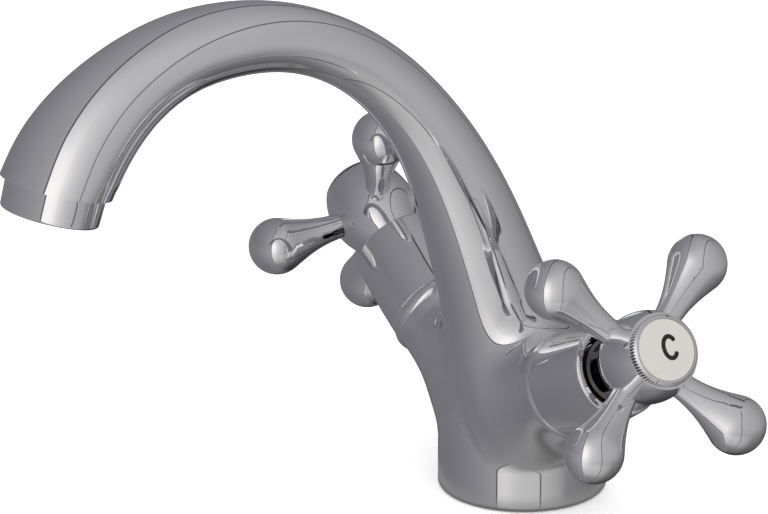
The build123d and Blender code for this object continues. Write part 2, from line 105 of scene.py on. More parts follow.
# The glowing patch, painted as the basin with a painted contact shadow next to the base, that
# hides the fixing kit from reflections: its radius, the share of that within which it is quite
# solid, and how far it lies below the base
PATCH_RADIUS = 0.036
PATCH_SOLID = 0.6
PATCH_DEPTH = 0.0002

# Painted shade in the grooves of the index caps' knurl: from the tips of the teeth to their
# roots, and from the cap's front edge back, measured from the start of the valve's axis
KNURL_RADII = (0.00932, 0.00905)
KNURL_FRONT = (0.0872, 0.0869)

# The casting's form, in millimetres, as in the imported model
BASE_RADIUS = 22.5
BASE_HEIGHT = 10.0
BASE_EDGE = 1.2
# The seal's groove in the underside: inner radius, outer radius and depth
SEAL_GROOVE = (18.5, 20.3, 1.8)
# Holes in the underside: x, y, radius and depth of the two inlets and the stud's hole
HOLES = (
    (8.0, -4.5, 4.5, 12.0),
    (-8.0, -4.5, 4.5, 12.0),
    (0.0, 8.0, 4.05, 13.0),
)
# The spout's round sections along its centre line: outer radius, y and z
SPOUT_SECTIONS = (
    (22.5, 0.0, 10.0),
    (22.45, 0.0, 15.0),
    (21.5, -0.7, 24.0),
    (19.2, -2.6, 34.0),
    (16.8, -5.6, 45.0),
    (14.9, -9.2, 56.0),
    (13.45, -14.5, 71.2),
    (11.6, -22.3, 90.1),
    (9.6, -33.7, 109.0),
    (8.6, -51.6, 126.0),
    (8.8, -69.8, 134.4),
    (9.7, -88.6, 136.8),
    (10.5, -103.6, 134.8),
    (11.6, -116.3, 129.2),
    (13.1, -126.8, 121.0),
    (14.4, -137.2, 106.6),
)
# The outlet: the lean of its face in degrees, and the socket behind it
OUTLET_TILT = 16.3
SOCKET_RADIUS = 10.8
SOCKET_DEPTH = 6.5
# The valves: where their axes start, and how far they rise and lean forwards, in degrees
VALVE_START = np.array((0.0, -4.2, 21.1))
VALVE_RISE = 28.7
VALVE_SWEEP = 1.4
# A boss's root: distance along the valve's axis, half width, half height and drop of each oval
BOSS_ROOT = (
    (8.0, 15.5, 19.5, 3.5),
    (12.0, 14.5, 17.0, 2.6),
    (18.0, 13.9, 15.0, 1.3),
    (24.0, 13.6, 13.9, 0.35),
    (30.0, 13.5, 13.5, 0.0),
    (36.0, 13.5, 13.5, 0.0),
)
# A boss's turned end: its radius, and where it starts and ends along the axis
BOSS_RADIUS = 13.5
BOSS_TURNED = 35.0
BOSS_FACE = 38.6
# Three points on the round of the bead at that end: radius and distance along the axis
BEAD = (
    (BOSS_RADIUS, BOSS_FACE - 3.2),
    (14.25, BOSS_FACE - 1.5),
    (13.8, BOSS_FACE),
)
# The bores behind the boss's face: radius and distance along the axis at each step
BOSS_BORES = (
    (10.2, BOSS_FACE),
    (10.2, 28.0),
    (9.0, 28.0),
    (9.0, 19.0),
    (5.0, 19.0),
    (5.0, 9.0),
)

# The bosses' blend into the column: how far it reaches at most
BLEND = 17.0
# The height where it begins and over which it grows, and where it ends and over which it fades
BLEND_FOOT = 7.0
BLEND_GROWTH = 25.0
BLEND_TOP = 70.0
BLEND_FADE = 16.0
# How far along the valve's axis it grows, and how far before the turned end it fades
BLEND_DEPTH = 16.0
BLEND_END = 5.0

# The blended skin: the width of its faces, the height where the spout's rings take over,
# two corners of the box it lies in, and how near a boss its points count as that boss's
SKIN_CELL = 0.8
SPOUT_START = 72.0
SKIN_BOX = ((-40.0, -34.0, BLEND_FOOT - 2.0), (40.0, 26.0, SPOUT_START + 8.0))
BOSS_NEAR = 6.0
# Steps for measuring the skin's slope, and the longest steps and the rounds for reaching it
SLOPE_STEP = 0.05
SETTLE_STEP = 0.6
SETTLE_ROUNDS = 4
# The spout's centre line: its points, one in how many has a ring, how many lean the rings
# over to the outlet's tilt, and the spare rings that only help the first one's direction
RAIL_POINTS = 900
RING_STEP = 5
LIP_POINTS = 40
SPARE_RINGS = 4
# Looking for the nearest point of the centre line: one in how many is tried first, how many
# places are handled at a time, and how many closer looks follow
SEARCH_STEP = 6
SEARCH_BATCH = 20000
SEARCH_ROUNDS = 3
# Sections worked out along a boss's root, and points round a ring
ROOT_POINTS = 400
RING_POINTS = 144
# Polishing takes this much off the spout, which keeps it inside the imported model
POLISH = 0.01


class Value:
    """A number that varies over a surface. Sums and products with it add their Math nodes."""

    def __init__(self, shading, socket):
        self.shading = shading
        self.socket = socket

    def math(self, operation, *others):
        return self.shading.math(operation, self, *others)

    def __add__(self, other):
        return self.math("ADD", other)

    def __radd__(self, other):
        return self.math("ADD", other)

    def __sub__(self, other):
        return self.math("SUBTRACT", other)

    def __rsub__(self, other):
        return self.shading.math("SUBTRACT", other, self)

    def __mul__(self, other):
        return self.math("MULTIPLY", other)

    def __rmul__(self, other):
        return self.math("MULTIPLY", other)

    def __truediv__(self, other):
        return self.math("DIVIDE", other)

    def __abs__(self):
        return self.math("ABSOLUTE")


class Shading:
    """The nodes of one material, or of the light tent."""

    def __init__(self, tree):
        self.tree = tree
        self.tree.nodes.clear()

    def node(self, kind, settings=None, inputs=None, output=0):
        """Adds a node: its settings first, then its inputs. Returns one of its outputs."""
        made = self.tree.nodes.new(kind)
        for name, value in (settings or {}).items():
            if name == "stops":
                self.set_stops(made.color_ramp, value)
            else:
                setattr(made, name, value)
        for name, value in (inputs or {}).items():
            socket = made.inputs[name]
            if isinstance(value, Value):
                self.tree.links.new(value.socket, socket)
            else:
                socket.default_value = value
        if not made.outputs:
            return None
        return Value(self, made.outputs[output])

    def set_stops(self, ramp, stops):
        """Gives a ramp of greys its stops: pairs of place and brightness."""
        while len(ramp.elements) > 1:
            ramp.elements.remove(ramp.elements[0])
        for number, (place, level) in enumerate(stops):
            stop = ramp.elements[0] if number == 0 else ramp.elements.new(place)
            stop.position = place
            stop.color = (level, level, level, 1.0)

    def math(self, operation, *values, clamp=False):
        """Works out one operation on numbers and values."""
        settings = {"operation": operation, "use_clamp": clamp}
        return self.node("ShaderNodeMath", settings, dict(enumerate(values)))

    def smooth(self, value, start, end):
        """Goes smoothly from 0 to 1 while value goes from start to end."""
        settings = {"interpolation_type": "SMOOTHSTEP"}
        inputs = {"Value": value, "From Min": start, "From Max": end}
        return self.node("ShaderNodeMapRange", settings, inputs)

    def line(self, value, width):
        """1 on a thin line where value is 0, fading to 0 at that distance."""
        return self.smooth(abs(value), width, width * 0.25)

    def mix(self, share, one, other):
        """Blends two colours."""
        inputs = {"Factor": share, 6: one, 7: other}
        return self.node("ShaderNodeMix", {"data_type": "RGBA"}, inputs, output=2)

    def tinted(self, tint, level):
        """A colour scaled by a level."""
        return self.node("ShaderNodeVectorMath", {"operation": "SCALE"}, {0: tint, "Scale": level})

    def parts(self, vector):
        """The x, y and z of a vector."""
        node = self.tree.nodes.new("ShaderNodeSeparateXYZ")
        self.tree.links.new(vector.socket, node.inputs[0])
        return [Value(self, socket) for socket in node.outputs]

    def distance(self, x, y, z, point):
        """How far (x, y, z) is from a fixed point."""
        gaps = [value - centre for value, centre in zip((x, y, z), point)]
        squares = sum(gap * gap for gap in gaps)
        return self.math("SQRT", squares)

    def position(self):
        """The place on the object, in metres, which moves with its body."""
        return self.node("ShaderNodeTexCoord", output=3)

    def noise(self, scale, detail=2.0, roughness=0.5):
        """Cloudy variation between 0 and 1 with features about 1 / scale metres wide."""
        inputs = {"Vector": self.position(), "Scale": scale, "Detail": detail, "Roughness": roughness}
        return self.node("ShaderNodeTexNoise", None, inputs)

    def specks(self, scale, size):
        """1 in the middle of scattered specks, 0 between them."""
        cells = self.node("ShaderNodeTexVoronoi", None, {"Vector": self.position(), "Scale": scale})
        return self.smooth(cells, size, size * 0.3)

    def bump(self, height, distance, strength=1.0):
        """Small ups and downs: height is between 0 and 1, distance in metres."""
        inputs = {"Height": height, "Distance": distance, "Strength": strength}
        return self.node("ShaderNodeBump", None, inputs)


def finish(name, make):
    """A material whose surface is described by make(shading), as the shader's socket values."""
    material = bpy.data.materials.new(name)
    material.use_nodes = True
    shading = Shading(material.node_tree)
    surface = shading.node("ShaderNodeBsdfPrincipled", None, make(shading))
    shading.node("ShaderNodeOutputMaterial", None, {"Surface": surface})
    return material


def chrome(s):
    """Polished chrome plate: cloudy polish, faint waves of the casting, a few dried water marks."""
    cloud = s.noise(60.0, 3.0)
    streak = s.noise(420.0, 2.0)
    marks = s.specks(260.0, 0.10) * s.smooth(s.noise(30.0), 0.52, 0.62)
    return {
        "Base Color": s.mix(cloud, (0.785, 0.785, 0.805, 1.0), (0.825, 0.82, 0.825, 1.0)),
        "Metallic": 1.0,
        "Roughness": 0.012 + 0.012 * cloud + 0.008 * streak + 0.06 * marks,
        "Normal": s.bump(s.noise(38.0, 1.0), 0.00004),
    }


def knurled_chrome(s):
    """Chrome of the index caps, darker and rougher in the grooves of the knurl; the darkening is
    painted shade.
    """
    surface = chrome(s)
    x, y, z = s.parts(s.position())
    x, y, z = abs(x), y - VALVE_START[1] / MM, z - VALVE_START[2] / MM
    along = valve_axes(1)[2]
    depth = x * along[0] + y * along[1] + z * along[2]
    reach = s.math("SQRT", x * x + y * y + z * z - depth * depth)
    # Painted shade: the knurl's grooves are darkened, and made rougher
    groove = s.smooth(reach, *KNURL_RADII) * s.smooth(depth, *KNURL_FRONT)
    surface["Base Color"] = s.mix(groove, surface["Base Color"], (0.20, 0.195, 0.19, 1.0))
    surface["Roughness"] = surface["Roughness"] + 0.3 * groove
    return surface


def plain_metal(dark, light, roughness, grain):
    """Machined or plated metal with turning marks and a little tarnish."""
    def make(s):
        cloud = s.noise(110.0, 4.0)
        marks = s.noise(grain, 3.0, 0.7)
        return {
            "Base Color": s.mix(cloud, (*dark, 1.0), (*light, 1.0)),
            "Metallic": 1.0,
            "Roughness": roughness + 0.16 * marks,
            "Normal": s.bump(marks, 0.00004, 0.6),
        }
    return make


def rubber(s):
    """Black rubber: matt, with a bloom of dust and a fine moulded grain."""
    bloom = s.smooth(s.noise(150.0, 4.0), 0.45, 0.75)
    return {
        "Base Color": s.mix(bloom, (0.012, 0.012, 0.013, 1.0), (0.05, 0.05, 0.052, 1.0)),
        "Roughness": 0.62 + 0.2 * bloom,
        "Normal": s.bump(s.noise(2600.0, 3.0), 0.00004, 0.7),
    }


def moulded(dark, light, roughness, shine=0.5):
    """Moulded plastic or enamel: slightly uneven tone and a fine surface texture."""
    def make(s):
        cloud = s.noise(170.0, 3.0)
        return {
            "Base Color": s.mix(cloud, (*dark, 1.0), (*light, 1.0)),
            "Roughness": roughness + 0.12 * cloud,
            "Specular IOR Level": shine,
            "Normal": s.bump(s.noise(1800.0, 2.0), 0.00002, 0.5),
        }
    return make


def enamel(s):
    """Off-white gloss enamel of the index discs: warm cast, faint ripple, dust in the pores."""
    cloud = s.noise(140.0, 3.0)
    pores = s.specks(1500.0, 0.16) * s.smooth(s.noise(200.0), 0.5, 0.7)
    clean = s.mix(cloud, (0.435, 0.425, 0.385, 1.0), (0.480, 0.470, 0.432, 1.0))
    return {
        "Base Color": s.mix(0.4 * pores, clean, (0.29, 0.275, 0.24, 1.0)),
        "Roughness": 0.22 + 0.12 * cloud,
        "Coat Weight": 0.25,
        "Coat Roughness": 0.12,
        "Normal": s.bump(s.noise(500.0, 2.0), 0.00003, 0.4),
    }


def fibre(s):
    """Red vulcanised fibre: mottled, with pressed-in threads."""
    threads = s.noise(1900.0, 4.0, 0.7)
    mottle = s.noise(320.0, 3.0)
    return {
        "Base Color": s.mix(mottle, (0.20, 0.045, 0.030, 1.0), (0.36, 0.095, 0.060, 1.0)),
        "Roughness": 0.7 + 0.2 * threads,
        "Normal": s.bump(threads, 0.00008, 0.8),
    }


# Each finish: how it is made, and the material slot that it covers
FINISHES = {
    "polished_chrome": (chrome, "chrome"),
    "knurled_chrome": (knurled_chrome, "knurl"),
    "machined_brass": (plain_metal((0.66, 0.47, 0.19), (0.80, 0.61, 0.28), 0.24, 1400.0), "brass"),
    # The spindles' brass, nearly black: painted shade of the dark gap between shroud and handle
    "shade_darkened_brass": (
        plain_metal((0.030, 0.024, 0.018), (0.060, 0.048, 0.034), 0.34, 1400.0),
        "spindle_shade",
    ),
    "nickel_plate": (plain_metal((0.20, 0.195, 0.19), (0.30, 0.29, 0.275), 0.26, 1100.0), "nickel"),
    "stainless_steel": (plain_metal((0.50, 0.51, 0.52), (0.61, 0.62, 0.63), 0.26, 1500.0), "steel"),
    "zinc_plate": (plain_metal((0.52, 0.53, 0.50), (0.66, 0.66, 0.60), 0.34, 900.0), "zinc"),
    "black_rubber": (rubber, "rubber"),
    "alumina_ceramic": (moulded((0.78, 0.76, 0.70), (0.86, 0.85, 0.80), 0.14), "ceramic"),
    "red_fibre": (fibre, "fibre"),
    "slip_plastic": (moulded((0.76, 0.76, 0.73), (0.84, 0.84, 0.81), 0.45), "slip"),
    "jet_plastic": (moulded((0.66, 0.68, 0.68), (0.76, 0.77, 0.77), 0.38), "jet_plastic"),
    "screen_plastic": (moulded((0.22, 0.235, 0.26), (0.30, 0.315, 0.34), 0.42), "screen_plastic"),
    "index_enamel": (enamel, "index_enamel"),
    "letter_enamel": (
        moulded((0.012, 0.009, 0.007), (0.026, 0.020, 0.015), 0.34, shine=0.12),
        "letter_enamel",
    ),
}
# Nodes whose finish differs from that of their material slot, by the end of their names; the
# spindles' brass is darkened as painted shade
OWN_FINISH = {"_spindle": "spindle_shade", "_index_cap": "knurl"}


def dress_nodes():
    """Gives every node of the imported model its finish, mostly that of its material slot."""
    made = {slot: finish(name, make) for name, (make, slot) in FINISHES.items()}
    slots = {part["node"]: part["material_slot"] for part in frame["record"]["subparts"]}
    for name, piece in frame["nodes"].items():
        piece.data.materials.clear()
        own = [slot for end, slot in OWN_FINISH.items() if name.endswith(end)]
        piece.data.materials.append(made[own[0] if own else slots[name]])


def tent_light(s):
    """Colour of the tent's cloth: grey, lighter on the cold side, with one bright opening and seams.

    Two seams run over the top. The opening lies between them, in front and on the cold side.
    """
    x, y, z = s.parts(s.node("ShaderNodeVectorMath", {"operation": "NORMALIZE"}, {0: s.position()}))
    height = s.math("ARCSINE", z) * math.degrees(1)
    below = s.math("MINIMUM", z, 0.0)
    reach = s.math("SQRT", 1.0 - below * below)
    across = (TENT_ACROSS[0] * x + TENT_ACROSS[1] * y) / reach
    beside = (TENT_BESIDE[0] * x + TENT_BESIDE[1] * y) / reach
    front = s.smooth(TENT_ACROSS[1] * x - TENT_ACROSS[0] * y, 0.0, 0.25)
    cloth = 0.312 + 0.156 * x + 0.05 * x * x + 0.06 * z + 0.05 * below
    cloth = cloth + 0.07 * s.smooth(across, -0.2, -0.15) * s.smooth(height, 25.0, 60.0)
    cloth = cloth - 0.13 * s.smooth(z, -0.1, -0.5) * s.smooth(y, 0.0, 0.5)
    high = s.node("ShaderNodeValToRGB", {"stops": OPENING_PROFILE}, {0: height / 180.0 + 0.5})
    wide = s.node("ShaderNodeValToRGB", {"stops": OPENING_FALL}, {0: across * 0.5 + 0.5})
    opening = 0.80 * high * wide * front
    left_seam = s.line(across - LEFT_SEAM[0], LEFT_SEAM[1]) * s.smooth(height, -75.0, -50.0)
    right_seam = s.line(beside - RIGHT_SEAM[0], RIGHT_SEAM[1])
    behind = s.smooth(s.distance(x, y, z, BACK_SPOT), *BACK_SPOT_EDGE)
    low = s.smooth(height, -14.0, -30.0) * s.smooth(height, -75.0, -45.0) * front
    low = low * s.smooth(across, -0.185, -0.165) * (0.10 + 0.06 * s.smooth(beside, 0.57, 0.55))
    cloth = cloth + 0.055 * s.smooth(height, 12.0, -15.0) * s.smooth(across, -0.165, -0.185)
    level = 0.965 * (cloth + opening + low + 0.7 * behind)
    level = level * (1.0 - 0.82 * left_seam) * (1.0 - 0.75 * right_seam)
    cold_side = s.smooth(x + 0.3 * y, -0.8, 0.5)
    tint = s.mix(cold_side, (0.950, 0.955, 1.045, 1.0), (0.995, 0.985, 1.0, 1.0))
    bright = s.math("MULTIPLY", opening + 2.0 * low, 1.2, clamp=True)
    tint = s.mix(bright, tint, (1.0, 0.985, 0.955, 1.0))
    return s.tinted(tint, level)


def only_in_reflections(thing):
    """Hides a thing from everything but glossy reflections."""
    thing.visible_camera = False
    thing.visible_diffuse = False
    thing.visible_shadow = False
    thing.visible_transmission = False


def light_tent():
    """The dome round the tap, seen only in its reflections."""
    bpy.ops.mesh.primitive_uv_sphere_add(
        segments=96, ring_count=48, radius=TENT_RADIUS, location=TENT_CENTRE)
    tent = bpy.context.object
    tent.name = "light_tent"
    for face in tent.data.polygons:
        face.use_smooth = True
    cloth = bpy.data.materials.new("tent_cloth")
    cloth.use_nodes = True
    shading = Shading(cloth.node_tree)
    glow = shading.node("ShaderNodeEmission", None, {"Color": tent_light(shading)})
    shading.node("ShaderNodeOutputMaterial", None, {"Surface": glow})
    cloth.cycles.emission_sampling = "NONE"
    tent.data.materials.append(cloth)
    only_in_reflections(tent)


def painted_basin_patch():
    """A glowing patch painted as the basin round the base, seen only in the tap's reflections, with a
    painted contact shadow next to the base.
    """
    bpy.ops.mesh.primitive_circle_add(
        vertices=128, radius=PATCH_RADIUS, fill_type="NGON", location=(0, 0, -PATCH_DEPTH))
    patch = bpy.context.object
    patch.name = "painted_basin_patch"
    painted_reflection = bpy.data.materials.new("basin_painted_reflection")
    painted_reflection.use_nodes = True
    s = Shading(painted_reflection.node_tree)
    x, y, z = s.parts(s.position())
    reach = s.distance(x, y, z, (0.0, 0.0, 0.0)) * MM
    # Painted contact shadow: the glow is dimmest next to the base and brightens out to 27 mm from the
    # middle
    level = 0.15 + 0.15 * s.smooth(reach, 22.0, 27.0) + 0.02 * s.noise(40.0, 2.0)
    glow = s.node("ShaderNodeEmission", None, {"Color": s.tinted((1.0, 0.985, 0.985), level)})
    clear = s.node("ShaderNodeBsdfTransparent")
    edge = s.smooth(reach, PATCH_RADIUS * MM, PATCH_RADIUS * MM * PATCH_SOLID)
    both = s.node("ShaderNodeMixShader", None, {0: edge, 1: clear, 2: glow})
    s.node("ShaderNodeOutputMaterial", None, {"Surface": both})
    painted_reflection.cycles.emission_sampling = "NONE"
    patch.data.materials.append(painted_reflection)
    only_in_reflections(patch)


def floor():
    """A wide pale floor just under the base."""
    def paint(s):
        cloud = s.noise(3.0, 2.0)
        return {
            "Base Color": s.mix(cloud, (0.90, 0.90, 0.90, 1.0), (0.93, 0.93, 0.93, 1.0)),
            "Roughness": 0.8,
            "Emission Color": (1.0, 1.0, 1.0, 1.0),
            "Emission Strength": 0.2,
        }

    bpy.ops.mesh.primitive_plane_add(size=FLOOR_SIZE, location=(0, 0, -FLOOR_DEPTH))
    ground = bpy.context.object
    ground.name = "floor"
    ground.data.materials.append(finish("floor_paint", paint))
    ground.visible_glossy = False


def studio_light():
    """Even white surroundings and one large soft lamp overhead."""
    world = bpy.data.worlds.new("white_surroundings")
    world.use_nodes = True
    shading = Shading(world.node_tree)
    white = {"Color": (1.0, 1.0, 1.0, 1.0), "Strength": SURROUNDINGS_STRENGTH}
    sky = shading.node("ShaderNodeBackground", None, white)
    shading.node("ShaderNodeOutputWorld", None, {"Surface": sky})
    bpy.context.scene.world = world

    lamp = bpy.data.lights.new("overhead_lamp", "AREA")
    lamp.shape = "DISK"
    lamp.size = 1.0
    lamp.energy = 4.0
    holder = bpy.data.objects.new("overhead_lamp", lamp)
    bpy.context.scene.collection.objects.link(holder)
    holder.location = LAMP_PLACE
    holder.rotation_euler = (CAMERA_AIM - holder.location).to_track_quat("-Z", "Y").to_euler()
    holder.visible_camera = False
    holder.visible_glossy = False


def camera():
    """The camera at the photograph's viewing angle."""
    azimuth = math.radians(CAMERA_AZIMUTH)
    elevation = math.radians(CAMERA_ELEVATION)
    back = Vector((
        math.sin(azimuth) * math.cos(elevation),
        -math.cos(azimuth) * math.cos(elevation),
        math.sin(elevation),
    ))
    data = bpy.data.cameras.new("camera")
    data.sensor_width = 36.0
    data.lens = CAMERA_LENS
    data.clip_start = 0.05
    data.clip_end = 100.0
    holder = bpy.data.objects.new("camera", data)
    bpy.context.scene.collection.objects.link(holder)
    holder.location = CAMERA_AIM + back * CAMERA_DISTANCE
    holder.rotation_euler = (-back).to_track_quat("-Z", "Y").to_euler()
    bpy.context.scene.camera = holder


def smooth_curve(points, count):
    """Points along a smooth curve through the given ones, evenly spaced by their chord lengths."""
    points = np.array(points)
    places = np.concatenate(([0.0], np.cumsum(np.linalg.norm(np.diff(points, axis=0), axis=1))))
    gaps = np.diff(places)
    last = len(points) - 1
    rows = np.zeros((last + 1, last + 1))
    sides = np.zeros_like(points)
    rows[0, :3] = gaps[1], -gaps[0] - gaps[1], gaps[0]
    rows[last, -3:] = gaps[-1], -gaps[-2] - gaps[-1], gaps[-2]
    for i in range(1, last):
        rows[i, i - 1:i + 2] = gaps[i - 1], 2 * (gaps[i - 1] + gaps[i]), gaps[i]
        ahead, behind = points[i + 1] - points[i], points[i] - points[i - 1]
        sides[i] = 6 * (ahead / gaps[i] - behind / gaps[i - 1])
    bends = np.linalg.solve(rows, sides)
    at = np.linspace(0.0, places[-1], count)
    i = np.clip(np.searchsorted(places, at, side="right") - 1, 0, last - 1)
    gap = gaps[i][:, None]
    a = (places[i + 1] - at)[:, None] / gap
    b = 1.0 - a
    bend = (a ** 3 - a) * bends[i] + (b ** 3 - b) * bends[i + 1]
    return a * points[i] + b * points[i + 1] + bend * gap ** 2 / 6


def ease(value, start, end):
    """Goes smoothly from 0 to 1 while value goes from start to end."""
    share = np.clip((value - start) / (end - start), 0.0, 1.0)
    return share * share * (3.0 - 2.0 * share)


# The centre line from the base to the outlet: radius, y and z, then its direction, the length
# between its points and how fast the radius grows
RAIL = smooth_curve(SPOUT_SECTIONS, RAIL_POINTS)
RAIL_HEADING = np.gradient(RAIL[:, 1:], axis=0)
RAIL_STEP = np.linalg.norm(RAIL_HEADING, axis=1)
RAIL_HEADING = RAIL_HEADING / RAIL_STEP[:, None]
RAIL_TAPER = np.gradient(RAIL[:, 0]) / RAIL_STEP
# The point where the spout's rings take over from the blended skin
SPOUT_FIRST = int(np.searchsorted(RAIL[:, 2], SPOUT_START))
# The ovals of a boss's root, finely divided
BOSS_OVALS = smooth_curve(BOSS_ROOT, ROOT_POINTS)


def column_distance(p):
    """How far points are outside the base, column and spout."""
    flat = p[:, 1:]
    nearest = np.empty(len(p), dtype=int)
    coarse = RAIL[None, ::SEARCH_STEP]
    for start in range(0, len(p), SEARCH_BATCH):
        piece = flat[start:start + SEARCH_BATCH, None]
        gaps = (piece[..., 0] - coarse[..., 1]) ** 2 + (piece[..., 1] - coarse[..., 2]) ** 2
        nearest[start:start + SEARCH_BATCH] = gaps.argmin(axis=1) * SEARCH_STEP
    for _ in range(SEARCH_ROUNDS):
        off = flat - RAIL[nearest, 1:]
        along = (off * RAIL_HEADING[nearest]).sum(axis=1)
        steps = np.rint(along / RAIL_STEP[nearest]).astype(int)
        nearest = np.clip(nearest + steps, 0, len(RAIL) - 1)
    off = flat - RAIL[nearest, 1:]
    along = (off * RAIL_HEADING[nearest]).sum(axis=1)
    along = np.where((nearest == 0) & (along < 0), 0.0, along)
    centre = RAIL[nearest, 1:] + along[:, None] * RAIL_HEADING[nearest]
    radius = RAIL[nearest, 0] + along * RAIL_TAPER[nearest]
    middle = flat - centre
    middle[:, 1] = np.where((nearest == 0) & (p[:, 2] < BASE_HEIGHT), 0.0, middle[:, 1])
    return np.sqrt(p[:, 0] ** 2 + (middle ** 2).sum(axis=1)) - radius


def valve_axes(side):
    """The valve's own directions: towards the back, up across the axis, and along the axis."""
    rise, sweep = math.radians(VALVE_RISE), math.radians(VALVE_SWEEP)
    along = np.array((
        side * math.cos(rise) * math.cos(sweep),
        -math.sin(sweep),
        math.sin(rise) * math.cos(sweep),
    ))
    back = np.array((0.0, 1.0, 0.0)) - along * along[1]
    back = back / np.linalg.norm(back)
    return back, side * np.cross(along, back), along


def boss_distance(p, side):
    """How far points are outside a valve boss, and how far they are along its axis."""
    back, up, along = valve_axes(side)
    off = p - VALVE_START
    u, v, d = off @ back, off @ up, off @ along
    wide, tall, drop = (np.interp(d, BOSS_OVALS[:, 0], BOSS_OVALS[:, k]) for k in (1, 2, 3))
    size = np.sqrt(wide * tall)
    round_gap = (np.sqrt((u / wide) ** 2 + ((v + drop) / tall) ** 2) - 1.0) * size
    behind = np.maximum(-d, 0.0)
    gap = np.where(behind > 0, np.sqrt(np.maximum(round_gap, 0.0) ** 2 + behind ** 2), round_gap)
    return gap, d


def casting_distance(p):
    """How far points are outside the casting's skin, with the bosses blended into the column."""
    gap = column_distance(p)
    height = ease(p[:, 2], BLEND_FOOT, BLEND_FOOT + BLEND_GROWTH)
    height = height * ease(p[:, 2], BLEND_TOP, BLEND_TOP - BLEND_FADE)
    for side in (1, -1):
        boss, d = boss_distance(p, side)
        reach = BLEND * height * ease(d, 0.0, BLEND_DEPTH)
        reach = reach * ease(d, BOSS_TURNED, BOSS_TURNED - BLEND_END)
        reach = np.maximum(reach, 1e-6)  # it divides below, so it is never quite nothing
        share = np.maximum(reach - np.abs(gap - boss), 0.0) / reach
        gap = np.minimum(gap, boss) - share ** 3 * reach / 6.0
    return gap


def slope(p):
    """The direction straight out of the skin, and how fast the distance grows along it."""
    parts = []
    for axis in range(3):
        shift = np.zeros(3)
        shift[axis] = SLOPE_STEP
        parts.append(casting_distance(p + shift) - casting_distance(p - shift))
    rise = np.stack(parts, axis=1) / (2 * SLOPE_STEP)
    size = np.linalg.norm(rise, axis=1, keepdims=True)
    return rise / size, size[:, 0]


def settle(p):
    """Moves points onto the skin."""
    for _ in range(SETTLE_ROUNDS):
        out, rate = slope(p)
        p = p - out * np.clip(casting_distance(p) / rate, -SETTLE_STEP, SETTLE_STEP)[:, None]
    return p


def skin_net():
    """A net of four-sided faces over the column and the blended bosses.

    Space is divided into cells. Every cell that the skin passes through holds one point, and
    every edge of a cell that it crosses gives one face between the four cells round that edge.
    """
    low, high = np.array(SKIN_BOX)
    counts = ((high - low) / SKIN_CELL).astype(int) + 1
    axes = [low[k] + SKIN_CELL * np.arange(counts[k]) for k in range(3)]
    grid = np.stack(np.meshgrid(*axes, indexing="ij"), axis=-1)
    inside = casting_distance(grid.reshape(-1, 3)).reshape(grid.shape[:3]) < 0
    halves = (slice(0, -1), slice(1, None))
    total = sum(inside[i, j, k].astype(int) for i in halves for j in halves for k in halves)
    crossed = (total > 0) & (total < 8)
    number = -np.ones(crossed.shape, dtype=int)
    cells = np.argwhere(crossed)
    number[crossed] = np.arange(len(cells))
    points = low + (cells + 0.5) * SKIN_CELL
    faces = []
    for axis in range(3):
        one, two = [k for k in range(3) if k != axis]
        first = inside[tuple(halves[0] if k == axis else slice(None) for k in range(3))]
        second = inside[tuple(halves[1] if k == axis else slice(None) for k in range(3))]
        edges = np.argwhere(first != second)
        edges = edges[(edges[:, one] > 0) & (edges[:, two] > 0)]
        edges = edges[(edges[:, one] < crossed.shape[one]) & (edges[:, two] < crossed.shape[two])]
        back_one, back_two = np.eye(3, dtype=int)[[one, two]]
        quad = np.stack([
            number[tuple((edges - back_one - back_two).T)],
            number[tuple((edges - back_two).T)],
            number[tuple(edges.T)],
            number[tuple((edges - back_one).T)],
        ], axis=1)
        flip = first[tuple(edges.T)] == (axis == 1)
        quad[flip] = quad[flip][:, ::-1]
        faces.append(quad)
    return settle(points), np.concatenate(faces)


def skin_patch():
    """The skin that ends just short of the base's wall, the spout's first ring and the bosses' ends."""
    points, faces = skin_net()
    over_spout = (points[:, 1:] - RAIL[SPOUT_FIRST, 1:]) @ RAIL_HEADING[SPOUT_FIRST]
    beyond = np.maximum(over_spout, BLEND_FOOT - points[:, 2])
    for side in (1, -1):
        gap, d = boss_distance(points, side)
        beyond = np.maximum(beyond, np.where(gap < BOSS_NEAR, d - BOSS_TURNED, -np.inf))
    margin = SKIN_CELL / 4
    faces = faces[(beyond[faces] < -margin).all(axis=1)]
    used, faces = np.unique(faces, return_inverse=True)
    points = points[used]
    return points, slope(points)[0], faces.reshape(-1, 4)


def open_loops(faces):
    """The open edges of a net of faces, as loops of point numbers in the faces' own direction."""
    ahead = {}
    for face in faces.tolist():
        for one, two in zip(face, face[1:] + face[:1]):
            if ahead.get(two) and one in ahead[two]:
                ahead[two].remove(one)
            else:
                ahead.setdefault(one, []).append(two)
    loops = []
    while any(ahead.values()):
        loop = [next(one for one, others in ahead.items() if others)]
        while ahead[loop[-1]]:
            loop.append(ahead[loop[-1]].pop())
        loops.append(loop[:-1])
    return loops


